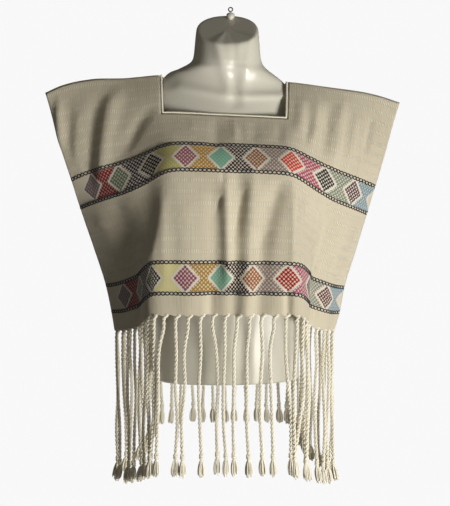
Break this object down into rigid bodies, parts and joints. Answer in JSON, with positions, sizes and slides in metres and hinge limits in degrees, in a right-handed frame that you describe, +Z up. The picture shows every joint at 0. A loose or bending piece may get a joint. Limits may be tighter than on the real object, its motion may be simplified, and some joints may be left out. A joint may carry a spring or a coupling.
{
  "type": "brocaded top on a hanging limbless dress form",
  "caption": "Short square-necked cotton top with brocaded bands and a hem of knotted cords, shown on a limbless form that hangs from an eye at its neck.",
  "frame": {"origin": "centre of the steel eye on top of the form's neck, from which the form and the top hang", "axes": "+Z up, -Y to the front of the top, +X to the right of someone who looks at its front"},
  "size_m": [0.6207, 0.2538, 0.841],
  "materials": {
    "cloth": "matte",
    "cord": "matte",
    "form": "satin",
    "steel": "satin"
  },
  "bodies": {
    "root": {"front_panel": "cloth", "back_panel": "cloth", "neck_binding": "cord", "fringe_front": "cord", "fringe_back": "cord", "dress_form": "form", "cap_knob": "form", "hanging_eye": "steel"}
  },
  "joints": []
}
